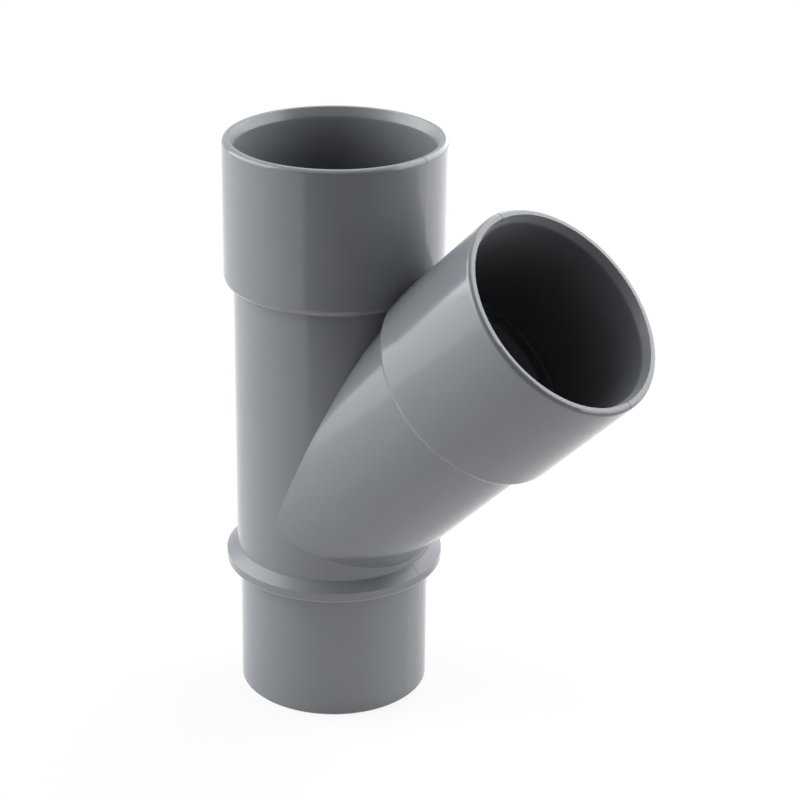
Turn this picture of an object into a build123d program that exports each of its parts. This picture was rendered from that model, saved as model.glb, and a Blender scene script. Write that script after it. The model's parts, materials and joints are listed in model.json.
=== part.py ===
# Lateral wye fitting for 50 mm solvent-weld waste pipe.
# One thin-walled moulding: a straight run with a plain spigot at its foot and a
# pipe socket at its head, and an equal branch socket leaning away at 45 degrees.
# Frame: the origin is the centre of the spigot's end face, +Z is the run's axis
# and the branch leans toward +X in the XZ plane. Lengths are in millimetres.

from build123d import *
from math import radians, tan
import os

# Pipe fit and walls
pipe_dia = 50.0
socket_clearance = 0.3
socket_wall = 3.3
spigot_wall = 3.0
body_rise = 0.9

# Spigot and stop bead
spigot_length = 33.6
spigot_edge = 0.4
bead_rise = 3.67
bead_foot = 2.15
bead_edge = 0.35
bead_land = 2.45
bead_bevel = 2.3

# Branch
branch_angle = 45.0
heel_gap = 1.6

# Sockets
socket_depth = 36.0
crotch_margin = 0.7
shoulder_lead = 1.8
shoulder_round = 1.9
lip_round = 1.0
lead_in_rise = 1.45
lead_in_depth = 2.45
taper_rise = 0.55
taper_depth = 8.0

# Radii that follow from the pipe
spigot_r = pipe_dia / 2
bore_r = spigot_r - spigot_wall
body_r = spigot_r + body_rise
bead_r = spigot_r + bead_rise
socket_bore_r = (pipe_dia + socket_clearance) / 2
socket_r = socket_bore_r + socket_wall
taper_r = socket_bore_r + taper_rise
lead_in_r = socket_bore_r + lead_in_rise

# Stations along the run
bead_shoulder = spigot_length + bead_foot + bead_land
bead_top = bead_shoulder + bead_bevel
half_angle = radians(branch_angle / 2)
crossing = bead_top + heel_gap + body_r * tan(half_angle)

# Stations along either arm, from the point where the two axes cross
stop_reach = body_r / tan(half_angle) + crotch_margin
shoulder_reach = stop_reach - shoulder_lead
mouth_reach = stop_reach + socket_depth

# Outside of one arm, standing on the crossing point: body, rounded socket
# shoulder, straight socket wall and rounded lip
with BuildPart() as arm_outside:
    with BuildSketch(Plane.XZ) as arm_outline:
        with BuildLine() as arm_edge:
            Polyline(
                (0, 0),
                (body_r, 0),
                (body_r, shoulder_reach),
                (socket_r, shoulder_reach),
                (socket_r, mouth_reach),
                (0, mouth_reach),
                close=True,
            )
        make_face()
        fillet(
            arm_outline.vertices().filter_by_position(Axis.X, socket_r - 0.01, socket_r + 0.01)
            .sort_by(Axis.Y)[0],
            radius=shoulder_round,
        )
        fillet(
            arm_outline.vertices().filter_by_position(Axis.X, socket_r - 0.01, socket_r + 0.01)
            .sort_by(Axis.Y)[-1],
            radius=lip_round,
        )
    revolve(axis=Axis.Z)

# Space inside one arm: passage, pipe socket with its stop, and at the mouth a
# slight taper that guides the pipe, opened by a steeper lead-in
with BuildPart() as arm_inside:
    with BuildSketch(Plane.XZ) as arm_core:
        with BuildLine() as core_edge:
            Polyline(
                (0, 0),
                (bore_r, 0),
                (bore_r, stop_reach),
                (socket_bore_r, stop_reach),
                (socket_bore_r, mouth_reach - taper_depth),
                (taper_r, mouth_reach - lead_in_depth),
                (lead_in_r, mouth_reach),
                (0, mouth_reach),
                close=True,
            )
        make_face()
    revolve(axis=Axis.Z)

with BuildPart() as wye_body:
    # Spigot, stop bead with its bevelled top, and the foot of the body
    with BuildSketch(Plane.XZ) as foot_outline:
        with BuildLine() as foot_edge:
            Polyline(
                (0, 0),
                (spigot_r, 0),
                (spigot_r, spigot_length),
                (bead_r, spigot_length + bead_foot),
                (bead_r, bead_shoulder),
                (body_r, bead_top),
                (body_r, crossing),
                (0, crossing),
                close=True,
            )
        make_face()
        chamfer(
            foot_outline.vertices().filter_by_position(Axis.X, spigot_r - 0.01, spigot_r + 0.01)
            .sort_by(Axis.Y)[0],
            length=spigot_edge,
        )
        chamfer(
            foot_outline.vertices().filter_by_position(Axis.X, bead_r - 0.01, bead_r + 0.01)
            .sort_by(Axis.Y)[0],
            length=bead_edge,
        )
    revolve(axis=Axis.Z)
    # The two equal arms
    with Locations((0, 0, crossing)):
        add(arm_outside.part)
        add(arm_outside.part, rotation=(0, branch_angle, 0))
    # The passages
    with Locations((0, 0, crossing)):
        add(arm_inside.part, mode=Mode.SUBTRACT)
        add(arm_inside.part, rotation=(0, branch_angle, 0), mode=Mode.SUBTRACT)
    Cylinder(bore_r, crossing, align=(Align.CENTER, Align.CENTER, Align.MIN), mode=Mode.SUBTRACT)

wye_body.part.label = "wye_body"

os.makedirs("parts", exist_ok=True)
export_step(wye_body.part, "parts/wye_body.step")
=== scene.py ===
import json
import math

import bpy
from mathutils import Matrix, Vector


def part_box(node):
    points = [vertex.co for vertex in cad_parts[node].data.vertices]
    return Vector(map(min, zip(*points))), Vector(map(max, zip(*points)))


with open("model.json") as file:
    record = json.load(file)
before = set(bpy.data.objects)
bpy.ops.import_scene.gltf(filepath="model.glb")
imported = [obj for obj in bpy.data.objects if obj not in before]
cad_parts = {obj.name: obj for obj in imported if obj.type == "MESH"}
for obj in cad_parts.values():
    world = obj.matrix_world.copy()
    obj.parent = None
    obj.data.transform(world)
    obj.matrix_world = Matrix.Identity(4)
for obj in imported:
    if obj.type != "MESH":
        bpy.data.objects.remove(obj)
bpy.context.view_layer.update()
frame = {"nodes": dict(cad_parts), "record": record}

scene = bpy.context.scene
body = frame["nodes"]["wye_body"]

# Places on the fitting, in metres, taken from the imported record: how high the two
# axes cross and how far each mouth lies from that point
mounts = {mount["name"]: mount for mount in frame["record"]["mounts"]}
branch_seat = Vector(mounts["branch_socket"]["pos_m"])
branch_axis = Vector(mounts["branch_socket"]["axis"])
seat_reach = branch_seat.x / branch_axis.x
crossing = mounts["run_socket"]["pos_m"][2] - seat_reach
mouth_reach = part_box("wye_body")[1][2] - crossing

# The body's outer radius, and the middle and half height of the bead's bevel
BODY_R = 0.0259
BEVEL_MID = 0.03935
BEVEL_HALF = 0.00115

# Radii just outside the mouth's inner edge and just outside the straight bore
MOUTH_R = 0.02662
BORE_R = 0.02585

# Depths below a mouth: where the lip, the lead-in and the taper end, and between which
# depths the lead-in's painted light fades, the bore's painted shade grows, and that painted
# shade ends above the pipe stop
LIP_DEPTH = 0.0011
LEAD_IN_DEPTH = 0.00245
TAPER_DEPTH = 0.008
PAINTED_LIGHT_FADE = (0.0012, 0.0036)
BORE_SHADE_FADE = (0.001, 0.028)
BORE_SHADE_END = (0.0345, 0.0355)

# Distances from the plane that holds both axes between which a nick fades out
NICK_FADE = (0.00014, 0.00034)

# How strongly the bevel takes the nick, the bore its painted shade and the nicks their painted
# shade
BEVEL_NICK = 0.45
BORE_PAINTED_SHADE = 0.55
NICK_SHADE = 0.9

# The compound's colour between its darkest and palest mottling, the lead-in's paler grey
# of painted light, and the painted shade's grey in the bore and the nicks
DARK_GREY = (0.177, 0.189, 0.206, 1)
PALE_GREY = (0.188, 0.200, 0.217, 1)
LEAD_IN_PAINTED_LIGHT_GREY = (0.258, 0.273, 0.290, 1)
SHADE_GREY = (0.035, 0.037, 0.040, 1)

# How many blotches to the metre the flow marks, the cloudiness and the grain have, the
# flow's share in the mottling, and the middle of the noise, which carries the contrast
FLOW_SCALE = 55.0
CLOUD_SCALE = 420.0
GRAIN_SCALE = 1500.0
FLOW_SHARE = 0.65
NOISE_MIDDLE = (0.3, 0.7)

# The compound's refractive index, its wall's roughness, and how much duller some places are
PVC_INDEX = 1.54
WALL_ROUGHNESS = (0.12, 0.16)
DULLER = 0.2

# Heights of the surface's relief, in metres
WAVE_HEIGHT = 0.000006
GRAIN_HEIGHT = 0.0000005
NICK_DEPTH = 0.00004
BEVEL_CROWN = 0.00006
TAPER_EASING = 0.00014

# Compass points, in degrees, between which the floor towards the camera takes a painted
# shade, half the width over which the painted shade begins at its sides, and the distances
# from the fitting over which it begins
WEDGE = (-82, 40)
WEDGE_EDGE = 0.012
WEDGE_START = (0.12, 0.30)

# The floor's own grey and the darker grey of its painted shade, its roughness and its side in
# metres
FLOOR_GREY = (0.8, 0.8, 0.8, 1)
WEDGE_PAINTED_SHADE_GREY = (0.15, 0.15, 0.15, 1)
FLOOR_ROUGHNESS = 0.9
FLOOR_SIZE = 8

# The floor's white glow: the distances over which it grows whole to the eye, how much
# of it the eye sees nearer than that, and how much shows in gloss
GLOW_FADE = (0.05, 0.30)
GLOW_NEAR = 0.85
GLOW_IN_GLOSS = 0.5

# The tent: the compass point of its bright side in degrees, its strength there, the
# cosines of the turn from it between which it begins, and the share that is left
# straight above, with the sines of the height between which that share is reached
BRIGHT_SIDE = 140
TENT_LEVEL = 0.9
TENT_FADE = (-0.80, -0.45)
TENT_TOP = 0.7
TENT_TOP_FADE = (0.5, 1.0)


def add(tree, kind, **values):
    """A node with its properties and unlinked input values set."""
    node = tree.nodes.new(kind)
    for name, value in values.items():
        if name in node.inputs:
            node.inputs[name].default_value = value
        else:
            setattr(node, name, value)
    return node


def feed(tree, socket, value):
    """Sets a socket to a number or colour, or links it where the value comes from a node."""
    if isinstance(value, (int, float, tuple)):
        socket.default_value = value
    else:
        tree.links.new(value, socket)


def calc(tree, operation, a, b=None, clamp=False):
    """The result of a sum on numbers or on values that come from nodes."""
    node = add(tree, "ShaderNodeMath", operation=operation, use_clamp=clamp)
    feed(tree, node.inputs[0], a)
    if b is not None:
        feed(tree, node.inputs[1], b)
    return node.outputs[0]


def ramp(tree, value, span, low, high, smooth=True):
    """Runs from low to high as the value crosses the span, and stays there."""
    node = add(tree, "ShaderNodeMapRange", interpolation_type="SMOOTHSTEP" if smooth else "LINEAR")
    feed(tree, node.inputs["Value"], value)
    for name, number in (
        ("From Min", span[0]),
        ("From Max", span[1]),
        ("To Min", low),
        ("To Max", high),
    ):
        node.inputs[name].default_value = number
    return node.outputs["Result"]


def blend(tree, factor, a, b):
    """Colour that goes from a to b as the factor goes from 0 to 1."""
    node = add(tree, "ShaderNodeMix", data_type="RGBA", blend_type="MIX")
    feed(tree, node.inputs["Factor"], factor)
    feed(tree, node.inputs[6], a)
    feed(tree, node.inputs[7], b)
    return node.outputs[2]


def along(tree, vector, direction):
    """How far a vector socket reaches along a fixed direction."""
    node = add(tree, "ShaderNodeVectorMath", operation="DOT_PRODUCT")
    tree.links.new(vector, node.inputs[0])
    node.inputs[1].default_value = direction
    return node.outputs["Value"]


def compass(degrees):
    """Level unit vector towards a compass point, counted from +X towards +Y."""
    angle = math.radians(degrees)
    return Vector((math.cos(angle), math.sin(angle), 0))


def noise(tree, place, scale, detail, roughness):
    """Noise on the object's own coordinates, from 0 to 1."""
    node = add(tree, "ShaderNodeTexNoise", Scale=scale, Detail=detail, Roughness=roughness)
    tree.links.new(place, node.inputs["Vector"])
    return node.outputs["Fac"]


def arms(tree, place):
    """How far a point lies along each arm from the crossing, and how far off its axis."""
    above = add(tree, "ShaderNodeVectorMath", operation="SUBTRACT")
    tree.links.new(place, above.inputs[0])
    above.inputs[1].default_value = (0, 0, crossing)
    squared = add(tree, "ShaderNodeVectorMath", operation="DOT_PRODUCT")
    tree.links.new(above.outputs[0], squared.inputs[0])
    tree.links.new(above.outputs[0], squared.inputs[1])
    reaches, offsets = [], []
    for axis in ((0, 0, 1), branch_axis):
        reach = along(tree, above.outputs[0], axis)
        gap = calc(tree, "SUBTRACT", squared.outputs["Value"], calc(tree, "MULTIPLY", reach, reach))
        reaches.append(reach)
        offsets.append(calc(tree, "SQRT", calc(tree, "MAXIMUM", gap, 0.0)))
    return reaches, offsets


def grey_pvc():
    """Moulded grey PVC-U: satin gloss, faint mottling and wave, nicks on the mould's parting."""
    mat = bpy.data.materials.new("grey_pvc")
    mat.use_nodes = True
    t = mat.node_tree
    link = t.links.new
    shader = t.nodes["Principled BSDF"]
    shader.inputs["IOR"].default_value = PVC_INDEX
    place = t.nodes.new("ShaderNodeTexCoord").outputs["Object"]
    split = t.nodes.new("ShaderNodeSeparateXYZ")
    link(place, split.inputs[0])

    # Mottling where the compound flowed, finer cloudiness within it, and grain
    flow = noise(t, place, FLOW_SCALE, detail=3.0, roughness=0.55)
    cloud = noise(t, place, CLOUD_SCALE, detail=3.0, roughness=0.6)
    grain = noise(t, place, GRAIN_SCALE, detail=2.0, roughness=0.5)

    # The bead's bevel, from -1 at its foot to 1 at its top
    reaches, offsets = arms(t, place)
    across = calc(t, "DIVIDE", calc(t, "SUBTRACT", split.outputs["Z"], BEVEL_MID), BEVEL_HALF)
    on_bevel = calc(
        t,
        "MULTIPLY",
        calc(t, "GREATER_THAN", offsets[0], BODY_R),
        calc(t, "LESS_THAN", calc(t, "ABSOLUTE", across), 1.0),
    )

    # Inside both mouths: the conical lead-in, the line where the taper ends, and the
    # painted shade down the bore
    depths = [calc(t, "SUBTRACT", mouth_reach, reach) for reach in reaches]
    lead_in, break_line, inward = 0.0, 0.0, 0.0
    taper = TAPER_DEPTH - LEAD_IN_DEPTH
    for depth, offset in zip(depths, offsets):
        within = calc(t, "LESS_THAN", offset, MOUTH_R)
        # The lead-in band, where light is painted in as a paler grey
        band = calc(t, "MULTIPLY", within, ramp(t, depth, PAINTED_LIGHT_FADE, 1.0, 0.0))
        lead_in = calc(t, "MAXIMUM", lead_in, band)
        left_below = calc(t, "SUBTRACT", TAPER_DEPTH + taper, depth)
        below = calc(t, "DIVIDE", left_below, taper, clamp=True)
        above = calc(t, "DIVIDE", calc(t, "SUBTRACT", depth, LEAD_IN_DEPTH), taper, clamp=True)
        near = calc(t, "MULTIPLY", calc(t, "MINIMUM", below, above), within)
        break_line = calc(t, "MAXIMUM", break_line, calc(t, "MULTIPLY", near, near))
        # Painted shade down the bore, growing with depth and ending above the pipe stop
        dimmer = ramp(t, depth, BORE_SHADE_FADE, 0.0, 1.0)
        deep = calc(t, "MULTIPLY", dimmer, ramp(t, depth, BORE_SHADE_END, 1.0, 0.0))
        bore = calc(t, "MULTIPLY", deep, calc(t, "LESS_THAN", offset, BORE_R))
        inward = calc(t, "MAXIMUM", inward, bore)

    # Nicks that the mould halves leave in the plane of the two axes: across the run's
    # lip on the branch's side, across the branch's lip and on the bead's bevel
    run_lip = calc(
        t,
        "MULTIPLY",
        calc(t, "LESS_THAN", depths[0], LIP_DEPTH),
        calc(t, "GREATER_THAN", split.outputs["X"], 0.0),
    )
    branch_lip = calc(t, "LESS_THAN", depths[1], LIP_DEPTH)
    parting = ramp(t, calc(t, "ABSOLUTE", split.outputs["Y"]), NICK_FADE, 1.0, 0.0)
    lips = calc(t, "MAXIMUM", run_lip, branch_lip)
    marked = calc(t, "MAXIMUM", lips, calc(t, "MULTIPLY", on_bevel, BEVEL_NICK))
    nick = calc(t, "MULTIPLY", parting, marked)

    # Colour: the mottled compound, painted light on the lead-ins, painted shade down the bores and
    # in the nicks
    tint = t.nodes.new("ShaderNodeValToRGB")
    stops = zip(tint.color_ramp.elements, NOISE_MIDDLE, (DARK_GREY, PALE_GREY))
    for stop, position, grey in stops:
        stop.position = position
        stop.color = grey
    from_flow = calc(t, "MULTIPLY", flow, FLOW_SHARE)
    from_cloud = calc(t, "MULTIPLY", cloud, 1 - FLOW_SHARE)
    link(calc(t, "ADD", from_flow, from_cloud), tint.inputs["Fac"])
    # Painted light: the lead-in band takes a paler grey
    colour = blend(t, lead_in, tint.outputs["Color"], LEAD_IN_PAINTED_LIGHT_GREY)
    # Painted shade: the bore darkens with depth towards a dark grey
    colour = blend(t, calc(t, "MULTIPLY", inward, BORE_PAINTED_SHADE), colour, SHADE_GREY)
    # Painted shade: the nicks take the dark grey
    colour = blend(t, calc(t, "MULTIPLY", nick, NICK_SHADE), colour, SHADE_GREY)
    link(colour, shader.inputs["Base Color"])

    # Satin gloss, duller on the bevel, on the lead-ins and in the nicks
    gloss = ramp(t, cloud, NOISE_MIDDLE, *WALL_ROUGHNESS, smooth=False)
    duller = calc(t, "MAXIMUM", calc(t, "MAXIMUM", on_bevel, lead_in), nick)
    roughness = calc(t, "ADD", gloss, calc(t, "MULTIPLY", duller, DULLER))
    link(roughness, shader.inputs["Roughness"])

    # Slow wave of the moulded wall, fine grain of the steel, the nicks' depth, a slight
    # crown of the bevel, and the softened break where the bore's taper ends
    wave = calc(t, "MULTIPLY", flow, WAVE_HEIGHT)
    fine = calc(t, "MULTIPLY", grain, GRAIN_HEIGHT)
    height = calc(t, "ADD", wave, fine)
    height = calc(t, "SUBTRACT", height, calc(t, "MULTIPLY", nick, NICK_DEPTH))
    crown = calc(t, "SUBTRACT", 1.0, calc(t, "MULTIPLY", across, across))
    crown = calc(t, "MULTIPLY", calc(t, "MULTIPLY", crown, on_bevel), BEVEL_CROWN)
    height = calc(t, "ADD", height, crown)
    height = calc(t, "SUBTRACT", height, calc(t, "MULTIPLY", break_line, TAPER_EASING))
    bump = add(t, "ShaderNodeBump", Strength=1.0, Distance=1.0)
    link(height, bump.inputs["Height"])
    link(bump.outputs[0], shader.inputs["Normal"])
    return mat


body.data.materials.clear()
body.data.materials.append(grey_pvc())

# Camera at the photograph's viewing angle: its place in metres, its turns in degrees,
# its lens and film width in millimetres, and how near it begins to see, in metres
CAMERA_PLACE = (0.35611, -0.44498, 0.32714)
CAMERA_TURNS = (36.952, -23.397, 0.860)
LENS = 106.713
FILM_WIDTH = 36
NEAREST = 0.01

yaw, pitch, roll = (math.radians(turn) for turn in CAMERA_TURNS)
ahead = Vector(
    (
        -math.sin(yaw) * math.cos(pitch),
        math.cos(yaw) * math.cos(pitch),
        math.sin(pitch),
    )
)
level_right = Vector((math.cos(yaw), math.sin(yaw), 0))
level_up = level_right.cross(ahead)
right = math.cos(roll) * level_right + math.sin(roll) * level_up
up = math.cos(roll) * level_up - math.sin(roll) * level_right
pose = Matrix((right, up, -ahead)).transposed().to_4x4()
pose.translation = CAMERA_PLACE
cam_data = bpy.data.cameras.new("camera")
cam_data.sensor_width = FILM_WIDTH
cam_data.lens = LENS
cam_data.clip_start = NEAREST
camera = bpy.data.objects.new("camera", cam_data)
camera.matrix_world = pose
scene.collection.objects.link(camera)
scene.camera = camera


def white_paper():
    """White sweep that shows white to the eye and in gloss, and still takes the shadow.

    On the camera's side, clear of the picture, a darker wedge of it begins: painted shade, in its
    colour and in a glow that fades out of gloss there.
    """
    mat = bpy.data.materials.new("white_paper")
    mat.use_nodes = True
    t = mat.node_tree
    link = t.links.new
    paper = t.nodes["Principled BSDF"]
    paper.inputs["Roughness"].default_value = FLOOR_ROUGHNESS
    place = t.nodes.new("ShaderNodeTexCoord").outputs["Object"]
    inward = [along(t, place, compass(side)) for side in (WEDGE[0] + 90, WEDGE[1] - 90)]
    away = add(t, "ShaderNodeVectorMath", operation="LENGTH")
    link(place, away.inputs[0])
    away = away.outputs["Value"]
    # Painted shade: a darker wedge of the floor towards the camera
    sideways = ramp(t, calc(t, "MINIMUM", *inward), (-WEDGE_EDGE, WEDGE_EDGE), 0.0, 1.0)
    shade = calc(t, "MULTIPLY", sideways, ramp(t, away, WEDGE_START, 0.0, 1.0))
    link(blend(t, shade, FLOOR_GREY, WEDGE_PAINTED_SHADE_GREY), paper.inputs["Base Color"])

    # White glow: nearly whole to the eye and whole away from the object, and half in gloss
    rays = t.nodes.new("ShaderNodeLightPath").outputs
    glow_to_eye = ramp(t, away, GLOW_FADE, GLOW_NEAR, 1.0)
    to_eye = calc(t, "MULTIPLY", rays["Is Camera Ray"], glow_to_eye)
    mirrored = calc(t, "MAXIMUM", rays["Is Glossy Ray"], rays["Is Transmission Ray"])
    # Painted shade: over the wedge the glow in gloss fades out
    glow_in_gloss = ramp(t, shade, (0.0, 1.0), GLOW_IN_GLOSS, 0.0, smooth=False)
    in_gloss = calc(t, "MULTIPLY", mirrored, glow_in_gloss)
    glow = add(t, "ShaderNodeEmission", Strength=1.0)
    mix = t.nodes.new("ShaderNodeMixShader")
    link(calc(t, "MAXIMUM", to_eye, in_gloss), mix.inputs[0])
    link(paper.outputs[0], mix.inputs[1])
    link(glow.outputs[0], mix.inputs[2])
    link(mix.outputs[0], t.nodes["Material Output"].inputs["Surface"])
    return mat


bpy.ops.mesh.primitive_plane_add(size=FLOOR_SIZE, location=(0, 0, 0))
floor = bpy.context.object
floor.name = "floor"
floor.data.materials.append(white_paper())


def panel(name, toward, distance, slide, width, height, lift, radiance):
    """Soft light that stands upright and faces the run's axis."""
    data = bpy.data.lights.new(name, "AREA")
    data.shape = "RECTANGLE"
    data.size, data.size_y = width, height
    data.energy = radiance * math.pi * width * height
    lamp = bpy.data.objects.new(name, data)
    out = compass(toward)
    side = compass(toward + 90)
    lamp.location = distance * out + slide * side + Vector((0, 0, lift + height / 2))
    lamp.rotation_euler = (-out).to_track_quat("-Z", "Y").to_euler()
    lamp.visible_camera = False
    scene.collection.objects.link(lamp)


# Each side has a tall panel above a dimmer one that stands on the floor
left = {"toward": -150, "distance": 0.70, "slide": 0, "width": 0.85}
panel("left_panel", **left, height=0.92, lift=0.20, radiance=4.1)
panel("left_foot_panel", **left, height=0.20, lift=0.0, radiance=1.5)
right_side = {"toward": 81, "distance": 0.27, "slide": -0.285, "width": 0.93}
panel("right_panel", **right_side, height=0.50, lift=0.14, radiance=2.9)
panel("right_foot_panel", **right_side, height=0.14, lift=0.0, radiance=0.9)


def studio_tent():
    """Pale tent, bright behind the fitting and open towards the camera, pale at the horizon."""
    world = bpy.data.worlds.new("tent")
    world.use_nodes = True
    t = world.node_tree
    heading = t.nodes.new("ShaderNodeTexCoord").outputs["Generated"]
    level_part = add(t, "ShaderNodeVectorMath", operation="MULTIPLY")
    t.links.new(heading, level_part.inputs[0])
    level_part.inputs[1].default_value = (1, 1, 0)
    bearing = add(t, "ShaderNodeVectorMath", operation="NORMALIZE")
    t.links.new(level_part.outputs[0], bearing.inputs[0])
    backward = along(t, bearing.outputs[0], compass(BRIGHT_SIDE))
    upward = along(t, heading, (0, 0, 1))
    level = ramp(t, backward, TENT_FADE, 0.0, TENT_LEVEL)
    level = calc(t, "MULTIPLY", level, ramp(t, upward, TENT_TOP_FADE, 1.0, TENT_TOP))
    t.links.new(level, t.nodes["Background"].inputs["Strength"])
    t.nodes["Background"].inputs["Color"].default_value = (1, 1, 1, 1)
    return world


scene.world = studio_tent()
scene.view_settings.view_transform = "Standard"
